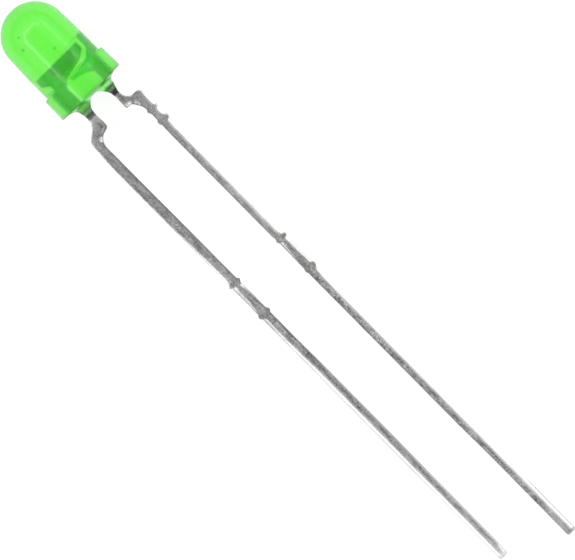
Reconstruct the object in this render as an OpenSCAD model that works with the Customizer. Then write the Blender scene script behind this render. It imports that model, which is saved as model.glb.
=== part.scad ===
// Round 3 mm through-hole LED with uncut leads.
// It is drawn upright: the dome points up, the leads point down, the foot of the flange is at
// height 0, and the stamped sheet of the leads stands in the XZ plane with the anode at +X.
// at_rest() then lays it down on the rim of its flange and on the tips of its two leads, with the
// dome towards -X, the leads towards +X and the anode at +Y.

/* [Resin body] */
// Diameter of the straight barrel, which a panel hole takes
barrel_d = 2.92; // [2.6:0.02:3.6]
// Height of the straight part of the barrel, above the flange
barrel_land = 1; // [0.6:0.1:1.6]
// How much narrower the barrel is at the foot of the dome, on the diameter
barrel_draft = 0.07; // [0.01:0.01:0.2]
// Height of the body, from the foot of the flange to the tip of the dome
body_h = 4.65; // [4.2:0.05:6]
// How far the foot of the flange stands out from the barrel
flange_out = 0.16; // [0.14:0.01:0.5]
// Height of the flange
flange_h = 1.05; // [0.6:0.05:1.2]
// How much the flange narrows from its foot to its shoulder, on the radius
flange_draft = 0.02; // [0:0.01:0.03]
// Radius of the round on the shoulder of the flange
shoulder_r = 0.04; // [0.02:0.01:0.04]
// Radius of the fillet between the flange and the barrel
root_r = 0.04; // [0.02:0.01:0.05]
// How far the underside bulges down at its middle
bulge = 0.12; // [0.04:0.02:0.2]

/* [Leads] */
// Thickness of the sheet that both leads are stamped from
sheet_t = 0.4; // [0.3:0.02:0.5]
// Width of the straight part of a lead
lead_w = 0.42; // [0.34:0.02:0.5]
// Distance between the middles of the two straight leads
lead_pitch = 2.68; // [2.4:0.02:3]
// Length of the cathode's lead below the body
cathode_length = 25.35; // [16:0.05:30]
// How much longer the anode's lead is
anode_extra = 1.2; // [0.8:0.05:3]
// Distance between the middles of the two necks, where the leads leave the body
neck_pitch = 1.36; // [1.2:0.02:1.6]
// Width of the cathode's neck
cathode_neck_w = 0.34; // [0.24:0.02:0.4]
// Width of the anode's neck
anode_neck_w = 0.24; // [0.2:0.02:0.4]
// Depth below the body at which the necks end and the leads step outwards
neck_h = 1.42; // [1.2:0.02:2]
// Height over which the leads step outwards
step_h = 0.4; // [0.36:0.02:0.8]
// Radius of the rounded corners at the tips of the leads
tip_r = 0.05; // [0.02:0.01:0.1]

/* [Sheared tabs] */
// Depth below the body of the first pair of tabs on each lead
tab_depth = 9.68; // [6:0.01:14]
// Distance from that pair to the second
tab_spacing = 1.7; // [0.6:0.05:3]
// Depth below the body of the first pair of tabs that only the anode has
anode_tab_depth = 2.22; // [2.1:0.02:3]
// Distance from that pair to the second
anode_tab_spacing = 0.63; // [0.4:0.01:1.5]
// How far a tab stands out from the edge of its lead
tab_out = 0.07; // [0.03:0.01:0.15]
// Height of a tab at its tip
tab_tip = 0.12; // [0.06:0.01:0.2]

/* [Leadframe in the resin] */
// Width of the cathode's post
cathode_post_w = 0.44; // [0.3:0.02:0.5]
// Width of the anode's post
anode_post_w = 0.33; // [0.24:0.01:0.5]
// Height of the anvil's top above the foot of the flange
anvil_h = 1.9; // [1.6:0.05:2.2]
// Height of the anvil's straight sides
anvil_side = 0.32; // [0.2:0.02:0.5]
// How far the anvil reaches past the axis, towards the anode
anvil_in = 0.63; // [0.56:0.01:0.75]
// Radius of the anvil's lower corner on that side
anvil_r = 0.1; // [0.04:0.02:0.14]
// How far the anvil reaches from the axis to its own side
anvil_out = 0.91; // [0.8:0.01:1.05]
// How far the anode's head stands above the anvil
head_over = 0.17; // [0.05:0.01:0.4]
// Width of the anode's head
head_w = 0.24; // [0.15:0.01:0.3]
// Gap between the cathode and the anode
frame_gap = 0.25; // [0.15:0.01:0.35]
// Height of the blunt end of the anode's foot, under the anvil
foot_end = 0.14; // [0.08:0.01:0.25]
// How far the anode's foot reaches past the axis, towards the cathode
foot_past = 0.08; // [0:0.01:0.2]

/* [Cup, chip and wire] */
// Diameter of the reflector cup at its mouth
cup_mouth_d = 0.8; // [0.6:0.02:0.9]
// Diameter of the cup's floor
cup_floor_d = 0.46; // [0.36:0.02:0.56]
// Depth of the cup
cup_depth = 0.3; // [0.24:0.02:0.4]
// Wall of the cup
cup_wall = 0.1; // [0.06:0.01:0.12]
// Metal under the cup's floor
cup_base = 0.2; // [0.1:0.02:0.3]
// Side of the square chip
chip_w = 0.25; // [0.2:0.01:0.3]
// Thickness of the chip
chip_t = 0.18; // [0.1:0.01:0.22]
// Clear ring of floor around the adhesive under the chip
adhesive_margin = 0.04; // [0.01:0.01:0.08]
// Thickness of the adhesive
adhesive_t = 0.02; // [0.01:0.005:0.04]
// Diameter of the bond wire
wire_d = 0.03; // [0.02:0.005:0.05]
// Diameter of the wire's ball on the chip and of its stitch on the anode
bond_d = 0.08; // [0.06:0.01:0.12]
// Thickness of the ball and of the stitch
bond_t = 0.02; // [0.01:0.005:0.04]

/* [Resin drawn down the leads] */
// How far down the necks the resin is drawn
wick_h = 0.75; // [0.4:0.05:1]
// How far it spreads from a neck at the foot of the flange
wick_spread = 0.42; // [0.2:0.02:0.5]
// Thickness of its last thin edge
wick_film = 0.015; // [0.01:0.005:0.03]

/* [Hidden] */
$fn = 96;
// Straight pieces in each rounded corner of an outline
corner_steps = 6;
// How far one shape runs into another where the two are joined
bite = 0.05;

barrel_r = barrel_d / 2;
dome_r = barrel_r - barrel_draft / 2;
dome_base = body_h - dome_r;
flange_r = barrel_r + flange_out;
bulge_r = (flange_r ^ 2 + bulge ^ 2) / (2 * bulge);
anode_length = cathode_length + anode_extra;
neck_u = neck_pitch / 2;
lead_in = (lead_pitch - lead_w) / 2;
lead_out = (lead_pitch + lead_w) / 2;
step_end = neck_h + step_h;
post_out = neck_u + cathode_neck_w / 2;
post_in = post_out - cathode_post_w;
head_in = anvil_in + frame_gap;
head_out = head_in + head_w;
head_u = (head_in + head_out) / 2;
head_h = anvil_h + head_over;
cup_floor = anvil_h - cup_depth;
chip_foot = cup_floor + adhesive_t;
chip_top = chip_foot + chip_t;
loop_h = head_h + bond_t;

// The anvil's slanted side, from the cathode's post up to the anvil's straight side
slant_foot = [-post_in, anvil_h / 2];
slant_top = [anvil_in, anvil_h - anvil_side];
slant = (slant_top - slant_foot) / norm(slant_top - slant_foot);

// Height of the anode's side of the gap, at a distance u from the axis
function gap_edge(u) =
    let (across = u - slant_top.x - frame_gap * slant.y)
    slant_top.y - frame_gap * slant.x + across * slant.y / slant.x;

foot_top = gap_edge(-foot_past);
foot_under = foot_top - foot_end;

// At rest the rim of the flange and the tips of both leads touch one plane. Seen from the lying
// part, the plane's upward normal is [fall, lean, 1], with fall along the leads and lean across.
lean_per_fall = anode_extra / lead_pitch;
fall = (sheet_t / 2 - flange_r) / (anode_length - lean_per_fall * lead_in);
lean = -fall * lean_per_fall;
roll = atan(lean);
tilt = atan(-fall / sqrt(1 + lean ^ 2));
rest_h = flange_r * cos(tilt);
rest_back = -dome_base * cos(tilt) - dome_r;
rest_front = anode_length * cos(tilt) + (sheet_t / 2 * cos(roll) + lead_out * sin(roll)) * sin(tilt);

module at_rest() {
    translate([-(rest_back + rest_front) / 2, 0, rest_h])
        rotate([roll - 90, tilt, 0])
            rotate([0, -90, 0])
                children();
}

// Points of the arc of radius r that rounds corner b of the path a-b-c
function corner_arc(a, b, c, r) =
    let (
        to_a = (a - b) / norm(a - b),
        to_c = (c - b) / norm(c - b),
        half = acos(to_a * to_c) / 2,
        middle = b + (to_a + to_c) / norm(to_a + to_c) * r / sin(half),
        spoke = b + to_a * r / tan(half) - middle,
        sweep = -sign(to_a.x * to_c.y - to_a.y * to_c.x) * (180 - 2 * half)
    )
    [
        for (i = [0 : corner_steps])
            let (turn = sweep * i / corner_steps)
            middle + [
                spoke.x * cos(turn) - spoke.y * sin(turn),
                spoke.x * sin(turn) + spoke.y * cos(turn)
            ]
    ];

// A closed outline of [x, y, radius] corners: a radius of 0 leaves the corner sharp
function rounded(corners) =
    let (n = len(corners), at = [for (c = corners) [c.x, c.y]])
    [
        for (i = [0 : n - 1])
            each corners[i].z > 0
                ? corner_arc(at[(i + n - 1) % n], at[i], at[(i + 1) % n], corners[i].z)
                : [at[i]]
    ];

// The sheet of the leads, cut to a 2D shape
module stamped() {
    rotate([90, 0, 0])
        linear_extrude(height = sheet_t, center = true)
            children();
}

// The tabs on both edges of a lead where a tie bar of the stamped strip was sheared off
module tabs(u, depth) {
    reach = lead_w / 2 + tab_out;
    half = tab_tip / 2;
    translate([u, -depth])
        polygon([
            [-reach, half],
            [-reach, -half],
            [0, -half - reach],
            [reach, -half],
            [reach, half],
            [0, half + reach]
        ]);
}

module tab_pairs(u, depth, spacing) {
    for (pair = [0, 1])
        tabs(u, depth + pair * spacing);
}

// Half of the body's section, without the bulge of its underside
module body_section() {
    shoulder = flange_r - flange_draft;
    polygon(rounded([
        [0, 0, 0],
        [flange_r, 0, 0],
        [shoulder, flange_h, shoulder_r],
        [barrel_r, flange_h, root_r],
        [barrel_r, flange_h + barrel_land, 0],
        [dome_r, dome_base, 0],
        [0, dome_base, 0]
    ]));
    translate([0, dome_base])
        intersection() {
            circle(r = dome_r);
            translate([0, -bite])
                square([dome_r, dome_r + bite]);
        }
}

module bulge_section() {
    intersection() {
        translate([0, bulge_r - bulge])
            circle(r = bulge_r);
        translate([0, -bulge])
            square([flange_r, bulge]);
    }
}

// Resin around one neck: a block hollowed on its four sides, so that it thins to a film
module wick(u, neck_w) {
    fillet_r = (wick_spread ^ 2 + wick_h ^ 2) / (2 * wick_spread);
    half_u = neck_w / 2 + wick_film;
    half_t = sheet_t / 2 + wick_film;
    translate([u, 0, -wick_h])
        difference() {
            translate([-half_u - wick_spread, -half_t - wick_spread, 0])
                cube([2 * (half_u + wick_spread), 2 * (half_t + wick_spread), wick_h + bite]);
            for (side = [-1, 1]) {
                translate([side * (half_u + fillet_r), 0, 0])
                    rotate([90, 0, 0])
                        cylinder(r = fillet_r, h = 2 * body_h, center = true);
                translate([0, side * (half_t + fillet_r), 0])
                    rotate([0, 90, 0])
                        cylinder(r = fillet_r, h = 2 * body_h, center = true);
            }
        }
}

module resin() {
    rotate_extrude() {
        body_section();
        bulge_section();
    }
    intersection() {
        union() {
            wick(-neck_u, cathode_neck_w);
            wick(neck_u, anode_neck_w);
        }
        translate([0, 0, -wick_h])
            cylinder(r = flange_r - flange_draft, h = wick_h + bite);
    }
}

module cathode_outline() {
    neck_in = neck_u - cathode_neck_w / 2;
    polygon(rounded([
        // the side towards the anode, from the anvil down to the tip
        [anvil_in, anvil_h, 0.03],
        [slant_top.x, slant_top.y, anvil_r],
        [slant_foot.x, slant_foot.y, 0.25],
        [-post_in, 0, 0],
        [-neck_in, -wick_h / 2, 0],
        [-neck_in, -neck_h - 0.08, 0.12],
        [0.25 - lead_in, -neck_h - 0.12, 0.1],
        [-lead_in, -step_end, 0.12],
        [-lead_in, -cathode_length, tip_r],
        // the outer side, from the tip up to the anvil
        [-lead_out, -cathode_length, tip_r],
        [-lead_out, -neck_h - 0.04, 0.15],
        [-post_out, -neck_h + 0.34, 0.4],
        [-post_out, anvil_h / 2, 0.1],
        [0.18 - post_out, anvil_h - anvil_side - 0.25, 0.14],
        [-anvil_out, anvil_h - anvil_side, 0.08],
        [-anvil_out, anvil_h, 0.03]
    ]));
}

module anode_outline() {
    neck_in = neck_u - anode_neck_w / 2;
    neck_out = neck_u + anode_neck_w / 2;
    post_near = neck_u - anode_post_w / 2;
    post_far = neck_u + anode_post_w / 2;
    polygon(rounded([
        // the side towards the cathode, from the head down to the tip
        [head_in, head_h, 0.03],
        [head_in, gap_edge(head_in), anvil_r + frame_gap],
        [-foot_past, foot_top, 0.03],
        [-foot_past, foot_under, 0.03],
        [post_near, foot_under, 0.08],
        [post_near, 0, 0],
        [neck_in, -wick_h / 2, 0],
        [neck_in, -neck_h - 0.06, 0.06],
        [lead_in - 0.25, -neck_h - 0.08, 0.1],
        [lead_in, -step_end - 0.03, 0.15],
        [lead_in, -anode_length, tip_r],
        // the outer side, from the tip up to the head
        [lead_out, -anode_length, tip_r],
        [lead_out, -neck_h + 0.15, 0.08],
        [neck_out, -neck_h + 0.15, 0.3],
        [neck_out, -wick_h / 2, 0],
        [post_far, 0, 0],
        [post_far, anvil_h / 2, 0.1],
        [head_out, anvil_h / 2 + 0.2, 0.1],
        [head_out, head_h, 0.03]
    ]));
}

module cup_boss() {
    translate([0, 0, cup_floor - cup_base])
        cylinder(
            d1 = cup_floor_d + 2 * cup_wall,
            d2 = cup_mouth_d + 2 * cup_wall,
            h = cup_depth + cup_base
        );
}

module cup_recess() {
    slope = (cup_mouth_d - cup_floor_d) / cup_depth;
    translate([0, 0, cup_floor])
        cylinder(
            d1 = cup_floor_d,
            d2 = cup_mouth_d + slope * bite,
            h = cup_depth + bite
        );
}

module cathode() {
    difference() {
        union() {
            stamped() {
                cathode_outline();
                tab_pairs(-lead_pitch / 2, tab_depth, tab_spacing);
            }
            cup_boss();
        }
        cup_recess();
    }
}

module anode() {
    stamped() {
        anode_outline();
        tab_pairs(lead_pitch / 2, tab_depth, tab_spacing);
        tab_pairs(lead_pitch / 2, anode_tab_depth, anode_tab_spacing);
    }
}

module adhesive() {
    translate([0, 0, cup_floor])
        cylinder(d = cup_floor_d - 2 * adhesive_margin, h = adhesive_t);
}

module chip() {
    translate([-chip_w / 2, -chip_w / 2, chip_foot])
        cube([chip_w, chip_w, chip_t]);
}

// A bond and the straight wire above it
module bond(u, foot) {
    translate([u, 0, foot]) {
        cylinder(d = bond_d, h = bond_t);
        cylinder(d = wire_d, h = loop_h - foot);
    }
}

module wire() {
    bond(0, chip_top);
    bond(head_u, head_h);
    translate([head_u / 2, 0, loop_h])
        rotate([90, 0, 0])
            rotate_extrude(angle = 180)
                translate([head_u / 2, 0])
                    circle(d = wire_d);
}

module epoxy_body() {
    color("limegreen", 0.7)
        at_rest()
            difference() {
                resin();
                cathode();
                anode();
                adhesive();
                chip();
                wire();
            }
}

module cathode_lead() {
    color("silver")
        at_rest()
            cathode();
}

module anode_lead() {
    color("silver")
        at_rest()
            anode();
}

module led_die() {
    color("khaki")
        at_rest()
            chip();
}

module die_attach() {
    color("gray")
        at_rest()
            adhesive();
}

module bond_wire() {
    color("gold")
        at_rest()
            wire();
}

epoxy_body();
cathode_lead();
anode_lead();
led_die();
die_attach();
bond_wire();
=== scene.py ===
"""Looks of the round through-hole LED: diffused green resin, tinned stamped leads, white floor and a soft light tent.

Shapes are made in the upright frame of the part, in millimetres: u across (anode at +u), t through the sheet (its
upper face at -t once the part lies down) and h up towards the dome, with the foot of the flange at h = 0. The depth
of a point is how far below that foot it lies. REST takes them to the row frame, in metres.

Keys are pairs (place, value) of a curve that blend_keys reads.
"""

import math
from types import SimpleNamespace

import bmesh
import bpy
from mathutils import Matrix, Vector, geometry, noise

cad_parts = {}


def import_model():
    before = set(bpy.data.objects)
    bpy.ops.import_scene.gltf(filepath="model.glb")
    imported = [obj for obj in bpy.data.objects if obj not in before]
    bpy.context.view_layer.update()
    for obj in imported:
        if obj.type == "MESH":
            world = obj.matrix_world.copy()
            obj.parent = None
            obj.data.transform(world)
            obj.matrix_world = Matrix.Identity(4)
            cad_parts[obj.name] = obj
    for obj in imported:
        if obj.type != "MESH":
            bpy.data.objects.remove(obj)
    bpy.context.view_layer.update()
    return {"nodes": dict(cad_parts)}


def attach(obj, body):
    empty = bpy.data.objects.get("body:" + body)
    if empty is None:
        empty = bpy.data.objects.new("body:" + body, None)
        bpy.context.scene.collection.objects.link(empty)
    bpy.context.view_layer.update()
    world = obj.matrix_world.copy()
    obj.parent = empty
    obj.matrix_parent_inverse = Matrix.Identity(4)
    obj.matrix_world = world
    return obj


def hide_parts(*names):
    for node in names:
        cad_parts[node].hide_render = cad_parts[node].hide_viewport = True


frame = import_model()

MM = 0.001

# ---------------------------------------------------------------- sizes, in millimetres, as in the part's own source
BARREL_R = 1.46
BARREL_LAND = 1.0
DOME_R = 1.425
BODY_H = 4.65
DOME_BASE = BODY_H - DOME_R
FLANGE_R = 1.62
FLANGE_TOP_R = 1.60
FLANGE_H = 1.05
BULGE = 0.12
WICK_H = 0.75
SHEET_T = 0.4
LEAD_W = 0.42
LEAD_PITCH = 2.68
LEAD_IN = (LEAD_PITCH - LEAD_W) / 2
LEAD_OUT = (LEAD_PITCH + LEAD_W) / 2
CATHODE_LENGTH = 25.35
ANODE_LENGTH = 26.55
NECK_U = 0.68
CATHODE_NECK_W = 0.34
ANODE_NECK_W = 0.24
POST_OUT = NECK_U + CATHODE_NECK_W / 2
POST_IN = POST_OUT - 0.44
ANODE_POST_W = 0.33
ANODE_POST_IN = NECK_U - ANODE_POST_W / 2
ANODE_POST_OUT = NECK_U + ANODE_POST_W / 2
ANVIL_H = 1.9
HEAD_H = 2.07
CUP_FLOOR = 1.6
CHIP_TOP = 1.8

# ---------------------------------------------------------------- finer sizes of the looks, in millimetres
LEAD_STEPS = 8  # cross-sections of a lead between two rows of its table
SHARP = 0.03  # width of a sharp upper edge, which carries no painted highlight
HIGHLIGHT_FROM = 0.06  # widths of a rounded upper edge at which the painted highlight starts and is full
HIGHLIGHT_FULL = 0.11
INNER_DROP = 0.12  # the most that a rounded inner edge reaches down the side
OUTER_DROP = 0.16  # the same for an outer edge
UNDER_R = 0.04  # radius of the lower edges of a lead
INNER_SIDE = 0.25  # how far down the last point of a cross-section lies
TAB_FLANK = 0.09  # length of a stub's sloping flank
TIP_ROUND = 0.05  # how far from its end a tip starts to draw in
TIP_DRAW = 0.6  # how much of that a tip draws in through the sheet
CUT_LENGTH = 0.16  # how far the bare sheared metal runs up from the anode's tip
MIDWAY = 9.0  # depth beyond which the rounded edges narrow beside a stub
SWAY = 0.006  # how far a lead wanders sideways
RELIEF = 0.004  # how uneven its upper face is
HEAD_HALF = SHEET_T / 2 - 0.001  # half the heads' thickness, just inside the faces of the posts
HEAD_EDGE = 0.02  # radius of the heads' edges
CUP_STEPS = 64
DOME_STEPS = 40
BODY_STEPS = 160
SHOULDER_R = 0.04  # radius of the edge and the corner on top of the flange
RIM_R = 0.025  # radius of the flange's lower edge
UNDERSIDE_R = FLANGE_R - RIM_R  # radius of the underside
BULGE_R = 1.3  # radius at which the bulge of the underside starts
WICK_END = 0.745  # depth at which the drawn-down resin ends
WICK_LIP = 0.72  # depth of the face that closes it, just inside that end
WICK_CORNER = 0.05  # radius of its corners on the neck
GRID = 0.06  # spacing of the points of the underside
KEEP_U = 0.46  # how far these points keep from a neck, across and through the sheet
KEEP_T = 0.38
WIRE_R = 0.009
WIRE_SIDES = 10
WIRE_STEPS = 6
WIRE_BALL = (0.04, 0.04, 0.016)
WIRE_STITCH = (0.045, 0.035, 0.01)
STITCH_U = 1.0

# ---------------------------------------------------------------- tones
WHITE = (1.0, 1.0, 1.0)
# Painted highlight on the leads' rounded edges, in glints and in lighter stretches.
PAINTED_HIGHLIGHT = (0.95, 0.95, 0.945)
# Painted shade: dark lines along the leads' edges.
EDGE_SHADE = (0.2, 0.2, 0.2)
# Painted shade at the necks, and darker tin elsewhere.
DARKENED = (0.028, 0.031, 0.04)
SHEARED = (0.5, 0.5, 0.49)
EMBEDDED = (0.71, 0.71, 0.71)
# Painted light and painted shade on the heads and the cup.
LIT = (0.96, 0.96, 0.96)
SHADED = (0.02, 0.02, 0.02)
# A green tint painted on the metal inside the resin, standing in for the light that comes through it.
EMBEDDED_GREEN_LIGHT = (0.16, 1.0, 0.21)
RESIN_DEPTH = (0.37, 0.99, 0.13)
RESIN_SPECK = (0.02, 0.15, 0.03)
# Painted shade: the underside's deeper green.
RESIN_DEEP_SHADE = (0.06, 0.86, 0.035)
# Painted light: a glow in the drawn-down resin.
RESIN_GLOW = (0.83, 1.0, 0.83)
# Painted shade in the drawn-down resin, on the flange's rim and on the underside.
RESIN_SHADE = (0.012, 0.02, 0.03)
FLOOR_PAPER = (0.34, 0.34, 0.34)
FLOOR_GLOW = 0.79

# ---------------------------------------------------------------- floor, lights and camera, in metres and degrees
FLOOR_HALF = 0.6
LIGHT_AWAY = 0.3
LIGHTS_AIM = (-0.011, 0, 0)
# The ring of lights: name, angle from straight up, direction, length, width, level and shift lengthwise.
LIGHT_RING = (
    ("ring_left", 36, -90, 0.3, 0.03, 4.5, 0.095),
    ("ring_back_left", 33, -133, 0.145, 0.03, 4.2, 0.0),
    ("ring_back", 30, 180, 0.115, 0.03, 4.0, 0.0),
    ("ring_back_right", 39, 137, 0.135, 0.03, 3.3, 0.0),
    ("ring_right", 52, 90, 0.4, 0.04, 1.5, -0.08),
)
# The light tent: how bright it is by height, from level (0) to straight up (1).
TENT = ((0.0, 0.45), (0.2, 0.5), (0.4, 1.0), (0.75, 1.0), (0.90, 0.75), (0.95, 0.3))
CAMERA_AT = (0.0855 * MM, 0.309 * MM, 0.261385)
CAMERA_TURN = 45.3
CAMERA_LENS = 400
CAMERA_SENSOR = 36
CAMERA_CLIP = (0.005, 10)


def rest_matrix():
    """The upright frame in millimetres to the row frame in metres: lying on the flange's rim and both lead tips."""
    lean_per_fall = (ANODE_LENGTH - CATHODE_LENGTH) / LEAD_PITCH
    fall = (SHEET_T / 2 - FLANGE_R) / (ANODE_LENGTH - lean_per_fall * LEAD_IN)
    lean = -fall * lean_per_fall
    roll = math.atan(lean)
    tilt = math.atan(-fall / math.sqrt(1 + lean * lean))
    back = -DOME_BASE * math.cos(tilt) - DOME_R
    drop = SHEET_T / 2 * math.cos(roll) + LEAD_OUT * math.sin(roll)
    front = ANODE_LENGTH * math.cos(tilt) + drop * math.sin(tilt)
    move = Matrix.Translation(Vector((-(back + front) / 2, 0, FLANGE_R * math.cos(tilt))))
    rolled = Matrix.Rotation(roll - math.pi / 2, 4, "X")
    turn = Matrix.Rotation(tilt, 4, "Y") @ rolled @ Matrix.Rotation(-math.pi / 2, 4, "Y")
    return Matrix.Scale(MM, 4) @ move @ turn


REST = rest_matrix()


# ---------------------------------------------------------------- curves
def fade(x, start, end):
    """0 before start and 1 after end, in a straight line between them."""
    return min(1.0, max(0.0, (x - start) / (end - start)))


def blend_keys(keys, x):
    """Value at x of a smooth curve through keys, level at each of them."""
    if x <= keys[0][0]:
        return keys[0][1]
    for (x0, v0), (x1, v1) in zip(keys, keys[1:]):
        if x <= x1:
            f = (x - x0) / (x1 - x0)
            f = f * f * (3 - 2 * f)
            return v0 + (v1 - v0) * f
    return keys[-1][1]


def catmull(points, steps):
    """A smooth curve through the points, with the same number of steps in every span."""
    out = []
    ends = [points[0]] + list(points) + [points[-1]]
    for i in range(1, len(ends) - 2):
        p0, p1, p2, p3 = (Vector(ends[i + k]) for k in (-1, 0, 1, 2))
        for s in range(steps):
            f = s / steps
            square = 2 * p0 - 5 * p1 + 4 * p2 - p3
            cube = 3 * p1 - p0 - 3 * p2 + p3
            out.append(0.5 * (2 * p1 + (p2 - p0) * f + square * f * f + cube * f ** 3))
    out.append(Vector(points[-1]))
    return out


def quarter(steps, first=0):
    """Cosines and sines of the angles from 0 to a quarter turn, in even steps."""
    angles = (math.pi / 2 * k / steps for k in range(first, steps + 1))
    return [(math.cos(f), math.sin(f)) for f in angles]


def round_corners(corners, steps=6):
    """An outline of (x, y, radius) corners as plain points."""
    out = []
    n = len(corners)
    for i in range(n):
        a, b, c = (Vector(corners[(i + k) % n][:2]) for k in (-1, 0, 1))
        r = corners[i][2]
        if r <= 0:
            out.append(tuple(b))
            continue
        p, q = (a - b).normalized(), (c - b).normalized()
        half = math.acos(max(-1, min(1, p.dot(q)))) / 2
        mid = b + (p + q).normalized() * r / math.sin(half)
        start = b + p * r / math.tan(half) - mid
        sweep = -math.copysign(math.pi - 2 * half, p.x * q.y - p.y * q.x)
        for k in range(steps + 1):
            cos, sin = math.cos(sweep * k / steps), math.sin(sweep * k / steps)
            out.append((mid.x + start.x * cos - start.y * sin, mid.y + start.x * sin + start.y * cos))
    return out


def within(x, y, outline):
    """Whether a point lies inside a closed outline."""
    crossings = 0
    for (x0, y0), (x1, y1) in zip(outline, outline[1:] + outline[:1]):
        if (y0 > y) != (y1 > y) and x < (x1 - x0) * (y - y0) / (y1 - y0) + x0:
            crossings += 1
    return crossings % 2 == 1


def reach(x, y, stroke):
    """How strongly a soft stroke (x0, y0, x1, y1, radius, amount) covers a point: 0 to its amount."""
    x0, y0, x1, y1, radius, amount = stroke
    span = (x1 - x0) ** 2 + (y1 - y0) ** 2
    f = min(1.0, max(0.0, ((x - x0) * (x1 - x0) + (y - y0) * (y1 - y0)) / span)) if span else 0.0
    away = math.hypot(x - x0 - f * (x1 - x0), y - y0 - f * (y1 - y0)) / radius
    return amount * math.exp(-away * away)


def cover(x, y, strokes):
    """How strongly a number of strokes together cover a point."""
    return sum(reach(x, y, stroke) for stroke in strokes)


# ---------------------------------------------------------------- meshes
def piece(name, bm, material, smooth, replaces):
    """A finished mesh of the object, in the row frame, riding on the part's one body."""
    bmesh.ops.recalc_face_normals(bm, faces=bm.faces)
    mesh = bpy.data.meshes.new(name)
    bm.to_mesh(mesh)
    bm.free()
    mesh.transform(REST)
    obj = bpy.data.objects.new(name, mesh)
    bpy.context.scene.collection.objects.link(obj)
    mesh.materials.append(material)
    for polygon in mesh.polygons:
        polygon.use_smooth = True
    mesh.set_sharp_from_angle(angle=math.radians(smooth))
    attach(obj, "root")
    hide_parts(*replaces)


def skin(bm, loops):
    """Joins each closed loop of vertices to the next one with a band of faces."""
    for a, b in zip(loops, loops[1:]):
        n = len(a)
        for i in range(n):
            bm.faces.new((a[i], a[(i + 1) % n], b[(i + 1) % n], b[i]))


def close_ends(bm, loops):
    """Closes a skin with a flat face at each end."""
    bm.faces.new(list(reversed(loops[0])))
    bm.faces.new(loops[-1])


def revolve(bm, profile, steps):
    """Adds a surface of revolution about the part's axis from (radius, height) points, and returns its loops."""
    turns = [2 * math.pi * k / steps for k in range(steps)]
    loops = [[bm.verts.new((r * math.cos(f), r * math.sin(f), h)) for f in turns] for r, h in profile]
    skin(bm, loops)
    return loops


def fill(bm, points, owners, edges, only_inside):
    """Yields triangles that fill the outlines made by edges: the middle of each, and the vertices at its corners.

    Each flat point has its vertex in owners. Unless only_inside is true, triangles outside the outlines come too.
    """
    found, _, triangles, origin, _, _ = geometry.delaunay_2d_cdt(points, edges, [], int(only_inside), 1e-7)
    for triangle in triangles:
        verts = [owners[origin[k][0]] for k in triangle]
        if len(set(verts)) == 3 and bm.faces.get(verts) is None:
            yield sum((found[k] for k in triangle), Vector((0, 0))) / 3, verts


def plate(bm, corners, light=lambda u, h: 0.0):
    """Adds a head cut to an outline in the sheet's plane, with slightly rounded edges. light(u, h) is how lit it is."""
    inside, lit = bm.verts.layers.float["inside"], bm.verts.layers.float["light"]
    if sum(a[0] * b[1] - b[0] * a[1] for a, b in zip(corners, corners[1:] + corners[:1])) < 0:
        corners = corners[::-1]
    count = len(corners)
    edge = ((HEAD_EDGE, 0.0), (0.3 * HEAD_EDGE, 0.3 * HEAD_EDGE), (0.0, HEAD_EDGE))
    upper = [(back, down - HEAD_HALF) for back, down in edge]
    lower = [(back, HEAD_HALF - up) for back, up in reversed(edge)]
    loops = []
    for back, t in upper + lower:
        loop = []
        for i in range(count):
            a, b, c = (Vector(corners[(i + k) % count]) for k in (-1, 0, 1))
            n1 = Vector(((b - a).y, -(b - a).x)).normalized()
            n2 = Vector(((c - b).y, -(c - b).x)).normalized()
            m = (n1 + n2).normalized()
            p = b - m * back / max(0.6, m.dot(n1))
            loop.append(bm.verts.new((p.x, t, p.y)))
            loop[-1][inside] = 1.0
            loop[-1][lit] = light(p.x, p.y)
        loops.append(loop)
    skin(bm, loops)
    for loop in (loops[0], loops[-1]):
        flat = [Vector((v.co.x, v.co.z)) for v in loop]
        for _, verts in fill(bm, flat, loop, [(k, (k + 1) % count) for k in range(count)], True):
            bm.faces.new(verts)


# ---------------------------------------------------------------- node trees
def grey(level):
    return (level, level, level)


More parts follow.
